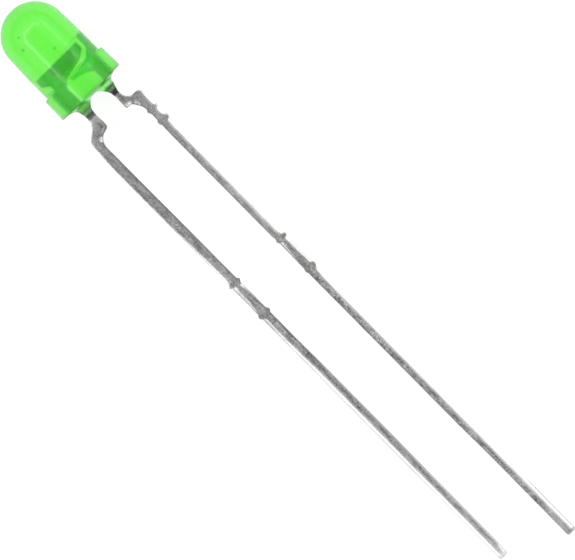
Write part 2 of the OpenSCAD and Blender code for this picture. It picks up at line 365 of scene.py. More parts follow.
class Graph:
    """A node tree with short calls for its nodes. An input takes a socket, a number or a colour of three numbers."""

    def __init__(self, tree):
        self.nodes = tree.nodes
        self.links = tree.links

    def feed(self, socket, value):
        """Links an input to another socket, or sets it to a plain value."""
        if isinstance(value, bpy.types.NodeSocket):
            self.links.new(value, socket)
        else:
            socket.default_value = (*value, 1) if isinstance(value, tuple) else value

    def feed_all(self, node, values):
        for name, value in values.items():
            self.feed(node.inputs[name], value)

    def add(self, kind, values=None):
        """A new node, with the inputs given by name."""
        node = self.nodes.new(kind)
        self.feed_all(node, values or {})
        return node

    def calc(self, operation, *values):
        """The result of an operation on numbers."""
        node = self.nodes.new("ShaderNodeMath")
        node.operation = operation
        for socket, value in zip(node.inputs, values):
            self.feed(socket, value)
        return node.outputs[0]

    def millimetres(self, stretch=(1, 1, 1)):
        """Coordinates in millimetres, stretched along the part's axes."""
        place = self.nodes.new("ShaderNodeTexCoord").outputs["Object"]
        scale = [s / MM for s in stretch]
        return self.add("ShaderNodeMapping", {"Vector": place, "Scale": scale}).outputs["Vector"]

    def noise(self, vector, scale, detail, rough):
        """Soft noise from 0 to 1."""
        values = {"Vector": vector, "Scale": scale, "Detail": detail, "Roughness": rough}
        return self.add("ShaderNodeTexNoise", values).outputs["Fac"]

    def ramp(self, source, *stops):
        """Colours by a source, from stops (position, colour)."""
        node = self.add("ShaderNodeValToRGB", {"Fac": source})
        elements = node.color_ramp.elements
        while len(elements) < len(stops):
            elements.new(0.5)
        for element, (at, colour) in zip(elements, stops):
            element.position = at
            element.color = (*colour, 1)
        return node.outputs["Color"]

    def spread(self, source, low, high, source_low=0.0, source_high=1.0):
        """A number from low to high, as the source goes from source_low to source_high."""
        limits = {"From Min": source_low, "From Max": source_high, "To Min": low, "To Max": high}
        return self.add("ShaderNodeMapRange", {"Value": source, **limits}).outputs["Result"]

    def mix(self, factor, a, b, kind="MIX"):
        """Colour a, blended with colour b by a factor. The sockets share their names, so they go by number."""
        node = self.nodes.new("ShaderNodeMix")
        node.data_type = "RGBA"
        node.blend_type = kind
        for index, value in ((0, factor), (6, a), (7, b)):
            self.feed(node.inputs[index], value)
        return node.outputs[2]

    def multiply(self, a, b):
        """The product of two colours."""
        return self.mix(1.0, a, b, "MULTIPLY")

    def layer(self, name):
        """The values of a vertex layer."""
        node = self.nodes.new("ShaderNodeAttribute")
        node.attribute_name = name
        return node.outputs["Fac"]

    def bump(self, height, strength, distance):
        """The normal of a surface with a small relief."""
        values = {"Height": height, "Strength": strength, "Distance": distance}
        return self.add("ShaderNodeBump", values).outputs["Normal"]

    def seen_by(self, *kinds):
        """1 for rays of these kinds, and 0 for all others."""
        path = self.nodes.new("ShaderNodeLightPath")
        seen = path.outputs[kinds[0]]
        for kind in kinds[1:]:
            seen = self.calc("MAXIMUM", seen, path.outputs[kind])
        return seen


def new_material(name):
    """A new material, its graph and its main shader."""
    material = bpy.data.materials.new(name)
    material.use_nodes = True
    graph = Graph(material.node_tree)
    return material, graph, graph.nodes["Principled BSDF"]


# ---------------------------------------------------------------- materials
def tinned_material():
    """Dull tin over steel: fine grain, soft streaks along the lead, painted shade at the necks, painted highlights and
    painted dark edge lines, painted light and shade on the heads, a painted green tint in the resin and a bare sheared
    tip.
    """
    material, g, shader = new_material("tinned_steel")
    grain = g.noise(g.millimetres((1.7, 0.8, 1)), 11, 2, 0.6)
    streaks = g.noise(g.millimetres((0.35, 1, 1)), 5, 5, 0.65)
    inside = g.layer("inside")
    fine = g.multiply(
        g.ramp(grain, (0.28, (0.36, 0.36, 0.356)), (0.72, (0.80, 0.80, 0.792))),
        g.ramp(streaks, (0.3, grey(0.70)), (0.7, WHITE)),
    )
    coarse = g.multiply(
        g.ramp(grain, (0.28, (0.24, 0.24, 0.238)), (0.72, (0.97, 0.97, 0.96))),
        g.ramp(streaks, (0.38, grey(0.56)), (0.56, WHITE)),
    )
    colour = g.mix(g.layer("coarse"), fine, coarse)
    # Painted highlight: white on the rounded edges, in glints and in lighter stretches.
    colour = g.mix(g.layer("rolled"), colour, PAINTED_HIGHLIGHT)
    # Painted shade: a broken dark line along sharp inner edges and below the outer shoulder.
    broken_edge_shade = g.calc("MULTIPLY", g.layer("edge"), g.spread(streaks, 0.1, 0.75, 0.35, 0.6))
    colour = g.mix(broken_edge_shade, colour, EDGE_SHADE)
    # Painted shade at the necks, and darker tin and dark marks elsewhere.
    colour = g.mix(g.layer("darkening"), colour, DARKENED)
    colour = g.mix(g.layer("cut"), colour, SHEARED)
    colour = g.mix(g.calc("MULTIPLY", inside, 0.8), colour, EMBEDDED)
    # Painted light and painted shade on the heads and the cup.
    colour = g.mix(g.layer("light"), colour, LIT)
    colour = g.mix(g.layer("shade"), colour, SHADED)
    relief = g.calc("MULTIPLY", grain, g.spread(inside, 1.0, 0.0))
    # Inside the resin the metal's colour takes the painted green tint.
    g.feed_all(shader, {
        "Base Color": g.multiply(colour, g.mix(inside, WHITE, EMBEDDED_GREEN_LIGHT)),
        "Metallic": 1.0,
        "Roughness": g.calc("MULTIPLY_ADD", inside, 0.3, g.spread(streaks, 0.3, 0.44, 0.3, 0.7)),
        "Normal": g.bump(relief, strength=0.45, distance=0.012 * MM),
    })
    return material


def resin_material():
    """Tinted, slightly milky epoxy: mostly clear, with a soft colour of its own and a tint that grows with depth.
    Painted shade darkens the underside, the flange's rim and the drawn-down resin, and painted light makes parts of
    that resin glow.
    """
    material, g, shader = new_material("green_resin")
    even = g.millimetres()
    mottle = g.noise(even, 5, 3, 0.6)
    colour = g.multiply(
        g.ramp(g.noise(even, 0.9, 3, 0.5), (0.3, (0.28, 0.975, 0.143)), (0.7, (0.324, 0.99, 0.18))),
        g.ramp(mottle, (0.3, (0.94, 0.985, 0.94)), (0.7, WHITE)),
    )
    place = g.add("ShaderNodeTexCoord").outputs["Object"]
    for u, h, size in ((0.24, 2.34, 0.09), (-0.5, 3.65, 0.07), (-0.73, 3.17, 0.10)):
        away = g.add("ShaderNodeVectorMath")
        away.operation = "DISTANCE"
        up = math.sqrt(DOME_R ** 2 - u * u - max(0.0, h - DOME_BASE) ** 2)
        g.feed(away.inputs[0], place)
        g.feed(away.inputs[1], REST @ Vector((u, -up, h)))
        speck = g.spread(away.outputs["Value"], 0.6, 0.0, size * 0.3 * MM, size * MM)
        colour = g.mix(speck, colour, RESIN_SPECK)
    # Painted shade: the underside's deeper green and the darkened rim, underside and drawn-down resin. Painted light: a
    # glow in the drawn-down resin.
    for layer, tone in (("deep_shade", RESIN_DEEP_SHADE), ("thin", RESIN_GLOW), ("painted_shade", RESIN_SHADE)):
        colour = g.mix(g.layer(layer), colour, tone)
    g.feed_all(shader, {
        "Base Color": colour,
        "IOR": 1.5,
        "Transmission Weight": 0.9,
        "Roughness": g.spread(mottle, 0.17, 0.22, 0.3, 0.7),
        "Normal": g.bump(g.noise(even, 2.5, 3, 0.5), strength=0.25, distance=0.01 * MM),
    })
    volume = g.add("ShaderNodeVolumeAbsorption", {"Color": RESIN_DEPTH, "Density": 270.0})
    g.feed(g.nodes["Material Output"].inputs["Volume"], volume.outputs["Volume"])
    return material


def chip_material():
    """The chip: a lapped semiconductor with faint lines of saw marks."""
    material, g, shader = new_material("chip")
    fine = g.noise(g.millimetres((1, 6, 1)), 20, 4, 0.6)
    g.feed_all(shader, {
        "Base Color": g.ramp(fine, (0.3, (0.32, 0.33, 0.2)), (0.7, (0.55, 0.55, 0.38))),
        "Roughness": g.spread(fine, 0.25, 0.45),
        "IOR": 1.5,
    })
    return material


def adhesive_material():
    """Silver-filled adhesive: a grey paste with bright flakes."""
    material, g, shader = new_material("adhesive")
    flakes = g.noise(g.millimetres(), 60, 3, 0.7)
    g.feed_all(shader, {
        "Base Color": g.ramp(flakes, (0.35, grey(0.35)), (0.7, grey(0.8))),
        "Roughness": g.spread(flakes, 0.7, 0.4),
        "Metallic": 0.6,
    })
    return material


def gold_material():
    """Drawn gold wire."""
    material, g, shader = new_material("gold")
    lines = g.noise(g.millimetres(), 40, 3, 0.6)
    g.feed_all(shader, {
        "Base Color": g.ramp(lines, (0.3, (0.95, 0.74, 0.36)), (0.7, (1.0, 0.86, 0.5))),
        "Roughness": g.spread(lines, 0.35, 0.5),
        "Metallic": 1.0,
    })
    return material


TINNED = tinned_material()
RESIN = resin_material()
CHIP = chip_material()
ADHESIVE = adhesive_material()
GOLD = gold_material()

# ---------------------------------------------------------------- leads
LEAD_LAYERS = ("darkening", "cut", "rolled", "edge", "inside", "light", "shade", "coarse")
COARSE = ((2.0, 0.0), (5.0, 0.3), (11.3, 0.3), (11.8, 1.0))  # keys by depth of how coarse the tin's speckle is
# The rounded outer edge of a lead, which carries the painted highlight, from the top face to the side, as parts of its
# width and its depth, and the number of its first point that lies on the side.
ROUNDED_EDGE = (
    (0.0, 0.0),
    (0.18, 0.016),
    (0.35, 0.063),
    (0.5, 0.134),
    (0.68, 0.23),
    (0.86, 0.326),
    (0.885, 0.346),
    (0.95, 0.47),
    (1.0, 0.75),
)
EDGE_SIDE = 6

# The two leads. tabs are the sheared stubs: depth, width of the tip, and reach outwards and inwards. rows are matched
# points of the inner and the outer edge: depth, across, depth, across. The others go by depth: round_in and round_out
# are the widths of the rounded upper edges, drift is how far the inner edge wanders towards the axis, tarnish is
# painted shade at the necks and darker tin elsewhere, pale is painted highlight over the whole cross-section, line is
# painted shade, a dark line along the outer side, soft is how far the painted highlight fades over the face (in parts
# of its width), and gleam_in and gleam_out are how bright the painted highlight is. The strokes for reach are dark
# marks, dents and painted glints.
ANODE = SimpleNamespace(
    side=1,
    length=ANODE_LENGTH,
    sheared=1.0,
    tabs=((2.2, 0.05, 0.035, 0.055), (2.81, 0.2, 0.05, 0.06), (9.625, 0.08, 0.06, 0.045), (11.31, 0.18, 0.066, 0.035)),
    rows=(
        (-0.7, ANODE_POST_IN, -0.7, ANODE_POST_OUT),
        (0.0, ANODE_POST_IN, 0.0, ANODE_POST_OUT),
        (0.375, 0.57, 0.375, 0.80),
        (0.95, 0.575, 0.84, 0.83),
        (1.25, 0.575, 1.0, 0.872),
        (1.43, 0.58, 1.12, 0.95),
        (1.475, 0.66, 1.215, 1.08),
        (1.49, 0.82, 1.225, 1.30),
        (1.54, 0.88, 1.255, 1.41),
        (1.68, 0.97, 1.33, 1.50),
        (1.86, 1.07, 1.52, 1.54),
        (2.0, LEAD_IN - 0.025, 2.0, LEAD_OUT),
        (2.2, LEAD_IN - 0.03, 2.2, LEAD_OUT),
        (2.4, LEAD_IN, 2.4, LEAD_OUT),
    ),
    round_in=((9.7, 0.03), (9.83, 0.17), (9.95, 0.14), (10.1, 0.11), (10.3, 0.1), (10.6, 0.08), (10.9, 0.045),
              (11.15, 0.03)),
    round_out=((1.36, 0.05), (1.5, 0.07), (1.6, 0.09), (1.7, 0.12), (1.95, 0.12), (2.06, 0.11), (2.16, 0.08),
               (2.25, 0.08), (2.36, 0.15), (2.52, 0.15), (2.7, 0.09), (2.8, 0.06), (2.9, 0.06), (3.02, 0.15),
               (3.3, 0.18), (6.0, 0.2), (7.5, 0.22), (9.2, 0.22), (9.55, 0.1), (9.85, 0.13), (10.6, 0.115),
               (10.9, 0.1), (11.1, 0.1), (11.19, 0.095), (11.26, 0.05), (11.4, 0.06), (11.5, 0.085), (11.6, 0.12),
               (11.75, 0.13), (12.0, 0.155), (12.6, 0.165), (20.0, 0.18), (22.0, 0.19)),
    drift=((2.3, 0.0), (3.5, 0.03), (9.3, 0.03), (9.5, 0.01), (12.0, 0.02), (20.0, 0.015), (22.0, -0.01), (26.0, 0.0)),
    darkening=((0.28, 0.0), (0.34, 0.6), (0.39, 0.5), (0.45, 0.28), (0.5, 0.55), (0.57, 1.0), (0.755, 1.0), (0.775, 0.0),
             (9.7, 0.0), (10.05, 0.15), (10.8, 0.12), (11.3, 0.02)),
    pale_highlight=((0.0, 0.0), (0.08, 1.0), (0.24, 1.0), (0.3, 0.0), (5.0, 0.0), (7.0, 0.12), (9.0, 0.12), (10.0, 0.0),
          (24.4, 0.0), (25.4, 0.45), (26.35, 0.5), (26.4, 0.0)),
    line=((23.8, 0.0), (24.6, 0.9), (26.3, 0.9), (26.4, 0.0)),
    soft=((0, 0.14),),
    gleam_in=((9.6, 1.0), (9.8, 0.3), (10.9, 0.3), (11.4, 1.0)),
    gleam_out=((0, 1.0),),
    marks=((1.0, 0.66, 1.3, 0.70, 0.03, 0.2), (1.28, 0.83, 1.5, 0.9, 0.04, 0.3), (1.3, 1.0, 1.45, 1.15, 0.05, 0.2),
           (1.34, 1.22, 1.68, 1.15, 0.11, 0.16)),
    dents=((1.39, 0.68, 1.41, 0.76, 0.08, 0.05), (1.54, 0.97, 1.68, 1.03, 0.05, 0.03)),
    glints=((1.39, 0.66, 1.41, 0.76, 0.05, 1.0), (1.55, 0.99, 1.66, 1.03, 0.035, 0.85),
            (2.14, 1.06, 2.26, 1.06, 0.03, 0.5), (2.74, 1.06, 2.93, 1.05, 0.03, 0.6)),
)
CATHODE = SimpleNamespace(
    side=-1,
    length=CATHODE_LENGTH,
    sheared=0.0,
    tabs=((9.625, 0.1, 0.06, 0.075), (11.34, 0.18, 0.064, 0.07)),
    rows=(
        (-0.55, POST_IN, -0.55, POST_OUT),
        (0.0, POST_IN, 0.0, POST_OUT),
        (0.375, 0.50, 0.375, 0.85),
        (0.95, 0.50, 0.79, 0.88),
        (1.30, 0.50, 0.94, 0.94),
        (1.45, 0.545, 1.09, 1.045),
        (1.515, 0.70, 1.25, 1.23),
        (1.56, 0.85, 1.36, 1.37),
        (1.67, 0.98, 1.48, 1.46),
        (1.82, 1.08, 1.70, 1.49),
        (2.02, LEAD_IN, 2.0, 1.50),
        (2.4, LEAD_IN, 2.4, 1.53),
        (3.0, LEAD_IN, 3.0, LEAD_OUT),
    ),
    round_in=((9.72, 0.03), (9.84, 0.12), (9.95, 0.11), (10.1, 0.09), (10.4, 0.075), (10.8, 0.05), (11.1, 0.03),
              (13.0, 0.03), (15.0, 0.08), (24.7, 0.09), (25.1, 0.17)),
    round_out=((1.2, 0.05), (5.0, 0.04), (7.0, 0.075), (9.2, 0.105), (9.55, 0.08), (9.82, 0.22), (10.0, 0.18),
               (10.5, 0.16), (10.9, 0.1), (11.25, 0.05), (11.45, 0.1), (11.6, 0.17), (12.0, 0.16), (12.5, 0.14),
               (15.0, 0.185), (18.0, 0.185), (21.0, 0.175), (26, 0.17)),
    drift=((3.0, 0.015), (7.0, 0.025), (13.0, 0.03), (15.0, 0.045), (18.0, 0.045), (22.0, 0.025), (25.0, 0.02)),
    darkening=((0.28, 0.0), (0.36, 0.4), (0.45, 0.12), (0.5, 0.35), (0.55, 0.68), (0.6, 0.82), (0.68, 0.62), (0.745, 0.6),
             (0.765, 0.0), (1.6, 0.0), (2.6, 0.14), (5.5, 0.12), (8.0, 0.0), (9.7, 0.0), (10.05, 0.12), (11.2, 0.02),
             (11.5, 0.1), (12.1, 0.08), (12.6, 0.0), (14.0, 0.2), (20.0, 0.2), (21.5, 0.08)),
    pale_highlight=((0.0, 0.0), (0.1, 0.12), (0.25, 0.12), (0.35, 0.0), (0.755, 0.0), (0.785, 0.65), (0.87, 0.65), (0.98, 0.35),
          (1.2, 0.0), (20.5, 0.0), (22.0, 0.3), (24.6, 0.25), (25.0, 0.75), (25.1, 0.75)),
    line=((0, 0.0),),
    soft=((12.0, 0.12), (14.5, 0.25)),
    gleam_in=((0, 1.0),),
    gleam_out=((9.6, 1.0), (9.8, 0.3), (10.9, 0.35), (12.6, 0.45), (13.3, 1.0)),
    marks=((1.08, 0.63, 1.28, 0.66, 0.03, 0.45), (1.28, 0.66, 1.36, 0.8, 0.035, 0.5),
           (1.43, 0.95, 1.47, 1.05, 0.04, 0.35), (10.4, 1.33, 10.7, 1.34, 0.045, 0.16),
           (11.6, 1.31, 11.9, 1.32, 0.05, 0.1)),
    dents=((1.62, 1.03, 1.67, 1.07, 0.055, 0.045), (25.45, 1.1, 25.45, 1.55, 0.22, 0.14)),
    glints=((1.62, 1.03, 1.67, 1.07, 0.05, 1.0), (1.36, 0.62, 1.41, 0.8, 0.04, 0.3)),
)


def tab_reach(lead, x):
    """How far the stubs stand out from a lead's outer and inner edges at a depth x: pointed, on straight flanks."""
    shape = [(1 - fade(abs(x - at) - tip / 4, 0.0, TAB_FLANK), out, back) for at, tip, out, back in lead.tabs]
    return max(f * out for f, out, _ in shape), max(f * back for f, _, back in shape)


def tab_distance(lead, x):
    """How far a depth x is from the nearest stub, and below 0 on its tip."""
    return min(abs(x - at) - tip / 2 for at, tip, _, _ in lead.tabs)


def lead_stations(lead):
    """Matched points (depth, across) of a lead's inner and outer edge, from its post down to its tip.

    They lie closest beside the stubs, and closer than elsewhere near the stubs and the tip.
    """
    length = lead.length
    inner = catmull([Vector((a, b, 0)) for a, b, _, _ in lead.rows], LEAD_STEPS)
    outer = catmull([Vector((c, d, 0)) for _, _, c, d in lead.rows], LEAD_STEPS)
    stations = [(p.x, p.y, q.x, q.y) for p, q in zip(inner, outer)]
    x = stations[-1][0]
    while x < length - 0.06:
        near = tab_distance(lead, x)
        if near < 0.12:
            step = 0.02
        elif near < 0.5 or x > length - 0.6:
            step = 0.04
        else:
            step = 0.12
        x = min(x + step, length - TIP_ROUND)
        stations.append((x, LEAD_IN, x, LEAD_OUT))
    for left in (0.03, 0.012, 0.0):
        stations.append((length - left, LEAD_IN + TIP_ROUND - left, length - left, LEAD_OUT - TIP_ROUND + left))
    return stations


def ring(lead, x, inner, outer):
    """One cross-section of a lead at a depth x, between points (depth, across) of its inner and its outer edge.

    Its points are (depth, across, q, rolled, edge), from the inner edge over the upper face and back underneath. q is
    0 on the upper face and grows downwards, rolled is how much painted highlight a point has, and edge is how much
    painted shade, a dark line, runs there: along a sharp inner edge, and below the outer shoulder.
    """
    pinch = fade(tab_distance(lead, x), -0.03, 0.09) if x > MIDWAY else 1.0
    r_in, r_out = (SHARP + (blend_keys(keys, x) - SHARP) * pinch for keys in (lead.round_in, lead.round_out))
    # How much painted highlight the rounded upper edges carry.
    highlit_in, highlit_out = (fade(r, HIGHLIGHT_FROM, HIGHLIGHT_FULL) for r in (r_in, r_out))
    shine_in, shine_out = blend_keys(lead.gleam_in, x) * highlit_in, blend_keys(lead.gleam_out, x) * highlit_out
    line, soft = blend_keys(lead.line, x), blend_keys(lead.soft, x)
    a, b = Vector(inner), Vector(outer)
    width = (b - a).length
    way = (b - a) / width
    points = []

    def put(d, q, rolled=0.0, edge=0.0):
        p = a + way * d
        points.append((p.x, p.y, q, rolled, edge))

    for k, (cos, sin) in enumerate(quarter(6)):
        put(r_in * (1 - cos), min(r_in, INNER_DROP) * (1 - sin), shine_in * (1 if k < 6 else 0.3), 1 - highlit_in)
    for k in range(1, 10):
        f = k / 10
        shine = max(shine_in * math.exp(-(f / soft) ** 2), shine_out * math.exp(-((1 - f) / soft) ** 2))
        put(r_in + (width - r_in - r_out) * f, 0, shine, 0.5 * (1 - highlit_in) if k == 1 else 0)
    for k, (across, down) in enumerate(ROUNDED_EDGE):
        at_side = k >= EDGE_SIDE
        shine = shine_out * (0 if line and at_side else 1 if k > 0 else 0.6)
        put(width - r_out * (1 - across), min(r_out, OUTER_DROP) * down, shine, line if at_side else 0)
    for k in (1, 2):
        put(width, OUTER_DROP + (SHEET_T - UNDER_R - OUTER_DROP) * k / 3)
    for cos, sin in quarter(3):
        put(width - UNDER_R * (1 - cos), SHEET_T - UNDER_R * (1 - sin))
    for k in (1, 2):
        put(width - UNDER_R - (width - 2 * UNDER_R) * k / 3, SHEET_T)
    for cos, sin in quarter(3):
        put(UNDER_R * (1 - sin), SHEET_T - UNDER_R * (1 - cos))
    put(0, INNER_SIDE)
    return points


def lead_mesh(lead):
    """The skin of a lead from its post down to its tip, with the layers that its material reads."""
    bm = bmesh.new()
    layers = {name: bm.verts.layers.float.new(name) for name in LEAD_LAYERS}
    loops = []
    for x0, y0, x1, y1 in lead_stations(lead):
        x = (x0 + x1) / 2
        outward, inward = tab_reach(lead, x)
        draw_in = TIP_DRAW * max(0.0, x - (lead.length - TIP_ROUND))
        sway = SWAY * noise.noise(Vector((x * 0.35, lead.side * 3.1, 0.4))) * fade(x, 3, 4)
        inner = (x0, y0 - blend_keys(lead.drift, x) - inward)
        loop = []
        for d, y, q, rolled, edge in ring(lead, x, inner, (x1, y1 + outward)):
            top = q < SHEET_T / 2
            q += draw_in if top else -draw_in
            if top:
                q += RELIEF * noise.noise(Vector((d * 2.3, y * 6, q * 4 + lead.side)))
                q += cover(d, y, lead.dents)
            vert = bm.verts.new((lead.side * (y + sway), max(q, 0) - SHEET_T / 2, -d))
            # Painted shade at the necks, darker tin elsewhere, and dark marks.
            vert[layers["darkening"]] = min(1.0, blend_keys(lead.darkening, d) + cover(d, y, lead.marks) * top)
            vert[layers["cut"]] = lead.sheared * fade(d - lead.length + CUT_LENGTH, 0.0, 0.05)
            # Painted highlight: on the rounded edges, over lighter stretches and in glints.
            vert[layers["rolled"]] = min(1.0, max(rolled, blend_keys(lead.pale_highlight, d)) + cover(d, y, lead.glints) * top)
            # Painted shade along the edges, beginning just past the neck.
            vert[layers["edge"]] = edge * fade(d, 0.9, 1.2)
            vert[layers["inside"]] = 1 - fade(d, -0.1, 0.1)
            vert[layers["coarse"]] = blend_keys(COARSE, d)
            loop.append(vert)
        loops.append(loop)
    skin(bm, loops)
    close_ends(bm, loops)
    return bm


def anode_lead():
    """The lead with the head that holds the wire, and the head's foot that reaches under the cup."""
    head_in, head_out = 0.89, 1.12
    foot_end = -0.12
    outline = round_corners([
        (head_in, HEAD_H, 0.04),
        (head_in, 1.5, 0.3),
        (0.62, 1.14, 0.3),
        (0.2, 0.975, 0.3),
        (foot_end, 0.955, 0.04),
        (foot_end, 0.81, 0.04),
        (0.12, 0.79, 0.1),
        (0.36, 0.68, 0.15),
        (ANODE_POST_IN, 0.5, 0),
        (ANODE_POST_OUT, 0.5, 0),
        (ANODE_POST_OUT, ANVIL_H / 2, 0.1),
        (head_out, ANVIL_H / 2 + 0.2, 0.1),
        (head_out, HEAD_H, 0.04),
    ])

    def light(u, h):
        """Painted light on the head: it is palest at the end of its foot."""
        across = blend_keys([(0.1, 0.75), (0.5, 0.45), (0.9, 0.3), (1.1, 0.0)], u)
        return across * blend_keys([(0.5, 0.0), (0.66, 0.9), (0.8, 1.0)], h)

    bm = lead_mesh(ANODE)
    plate(bm, outline, light)
    piece("anode_lead_tinned", bm, TINNED, 35, ["anode_lead"])


def cathode_lead():
    """The lead, its anvil and the reflector cup: a bowl through the anvil with a recess in its top."""
    anvil_in, anvil_out, rim = 0.64, -0.88, 0.43
    outline = round_corners([
        (anvil_in, ANVIL_H, 0.04),
        (anvil_in, 1.56, 0.12),
        (0.38, 1.28, 0.25),
        (-0.1, 1.12, 0.3),
        (-0.2, 1.03, 0.15),
        (-POST_IN, 0.76, 0.12),
        (-POST_IN, 0.5, 0),
        (-POST_OUT, 0.5, 0),
        (-POST_OUT, 0.92, 0.08),
        (-0.65, 1.03, 0.1),
        (-0.65, 1.33, 0.12),
        (anvil_out, ANVIL_H - 0.32, 0.08),
        (anvil_out, ANVIL_H, 0.04),
        (-rim, ANVIL_H, 0),
        (-0.3, CUP_FLOOR - 0.02, 0),
        (0.3, CUP_FLOOR - 0.02, 0),
        (rim, ANVIL_H, 0),
    ])
    bowl = [
        (0.02, 1.165),
        (0.12, 1.175),
        (0.22, 1.21),
        (0.31, 1.28),
        (0.375, 1.38),
        (0.42, 1.5),
        (0.455, 1.65),
        (0.485, ANVIL_H - 0.02),
        (0.478, ANVIL_H),
        (0.435, ANVIL_H),
        (0.40, ANVIL_H - 0.025),
        (0.245, CUP_FLOOR + 0.02),
        (0.215, CUP_FLOOR),
        (0.02, CUP_FLOOR),
    ]
    bm = lead_mesh(CATHODE)
    plate(bm, outline)
    loops = revolve(bm, bowl, CUP_STEPS)
    inside, light, shade = (bm.verts.layers.float[name] for name in ("inside", "light", "shade"))
    # Painted light on the lower part of the bowl and painted shade on its upper part.
    for loop, (_, h) in zip(loops, bowl):
        for vert in loop:
            vert[inside] = 1.0
            vert[light] = blend_keys([(1.25, 0.45), (1.45, 0.0)], h)
            vert[shade] = blend_keys([(1.25, 0.0), (1.42, 0.2)], h)
    close_ends(bm, loops)
    piece("cathode_lead_tinned", bm, TINNED, 35, ["cathode_lead"])


# ---------------------------------------------------------------- resin body
# The resin drawn down each neck, with keys by depth: how far it stands out from the neck towards the axis and away
# from it, and how much painted shade (stain) and painted light, a glow (thin), it carries.
NECKS = (
    SimpleNamespace(
        u=-NECK_U,
        width=CATHODE_NECK_W,
        towards=((0.0, 0.42), (0.03, 0.33), (0.1, 0.27), (0.2, 0.19), (0.28, 0.135), (0.37, 0.08), (0.46, 0.05),
                 (0.6, 0.034), (0.75, 0.012)),
        away=((0.0, 0.33), (0.015, 0.2), (0.065, 0.13), (0.135, 0.09), (0.2, 0.066), (0.27, 0.056), (0.34, 0.038),
              (0.475, 0.016), (0.75, 0.006)),
        painted_shade=((0.0, 0.06), (0.1, 0.03), (0.26, 0.0), (0.35, 0.2), (0.4, 0.1), (0.45, 0.0), (0.5, 0.05), (0.56, 0.4),
               (0.61, 0.7), (0.7, 0.3)),
        thin=((0.0, 0.0), (0.06, 0.2), (0.25, 0.2), (0.3, 0.0), (0.38, 0.05), (0.45, 0.4), (0.52, 0.65), (0.62, 1.0)),
    ),
    SimpleNamespace(
        u=NECK_U,
        width=ANODE_NECK_W,
        towards=((0.0, 0.44), (0.03, 0.37), (0.1, 0.29), (0.2, 0.205), (0.28, 0.145), (0.37, 0.09), (0.46, 0.045),
                 (0.6, 0.002), (0.75, -0.006)),
        away=((0.0, 0.34), (0.03, 0.23), (0.08, 0.18), (0.14, 0.152), (0.27, 0.136), (0.34, 0.12), (0.41, 0.098),
              (0.54, 0.066), (0.61, 0.042), (0.75, 0.016)),
        painted_shade=((0.0, 0.06), (0.08, 0.02), (0.13, 0.0), (0.27, 0.0), (0.31, 0.25), (0.35, 0.6), (0.4, 0.4), (0.45, 0.08),
               (0.5, 0.2), (0.56, 0.8), (0.63, 1.0)),
        thin=((0.1, 0.0), (0.16, 0.75), (0.25, 0.75), (0.32, 0.1), (0.42, 0.1), (0.48, 0.3), (0.6, 0.0)),
    ),
)
NECK_DEPTHS = (0, 0.012, 0.03, 0.055, 0.085, 0.12, 0.16, 0.2, 0.245, 0.29, 0.34, 0.39, 0.44, 0.5, 0.57, 0.64, 0.7, 0.74)
# Painted shade on the last rings of the flange's rim and on the underside, and the underside's deeper green, which is
# painted shade too.
RIM_SHADE = (0.05, 0.45, 0.5, 0.5, 0.45)
UNDER_SHADE = 0.4
UNDER_DEEP_SHADE = 0.8


def casting_profile():
    """(radius, height) points of the casting, from beside the dome's tip down to the flange's lower edge."""
    profile = [(DOME_R * sin, DOME_BASE + DOME_R * cos) for cos, sin in quarter(DOME_STEPS, 1)]
    profile += [
        (DOME_R + 0.012, DOME_BASE - 0.4),
        (BARREL_R - 0.004, FLANGE_H + BARREL_LAND + 0.15),
        (BARREL_R, FLANGE_H + BARREL_LAND),
        (BARREL_R, FLANGE_H + 0.5),
        (BARREL_R, FLANGE_H + SHOULDER_R + 0.005),
    ]
    for cos, sin in quarter(4, 1):
        profile.append((BARREL_R + SHOULDER_R * (1 - cos), FLANGE_H + SHOULDER_R * (1 - sin)))
    for cos, sin in quarter(4):
        profile.append((FLANGE_TOP_R - SHOULDER_R * (1 - sin), FLANGE_H - SHOULDER_R * (1 - cos)))
    profile += [(FLANGE_TOP_R + 0.01, FLANGE_H / 2), (FLANGE_R, 0.08)]
    for cos, sin in quarter(3):
        profile.append((FLANGE_R - RIM_R * (1 - cos), RIM_R * (1 - sin)))
    return profile


def under(u, t):
    """Height of the underside, bulging down at its middle."""
    return -BULGE * max(0.0, 1 - (math.hypot(u, t) / BULGE_R) ** 6)


def drawn_down(neck, d):
    """The outline of the resin that creeps down a neck, at d below the underside: wide towards the part's axis."""
    inner, outer = (blend_keys(keys, d) for keys in (neck.towards, neck.away))
    points = []
    for turn in range(4):
        for k in range(16):
            f = math.pi / 2 * (turn + k / 16)
            cx = (neck.width / 2 - WICK_CORNER) * (1 if turn in (0, 3) else -1)
            cy = (SHEET_T / 2 - WICK_CORNER) * (1 if turn in (0, 1) else -1)
            toward = math.cos(f) * (-1 if neck.u > 0 else 1)
            r = WICK_CORNER + outer + (inner - outer) * max(0.0, toward) ** 1.5
            points.append((neck.u + cx + r * math.cos(f), cy + r * math.sin(f)))
    return points


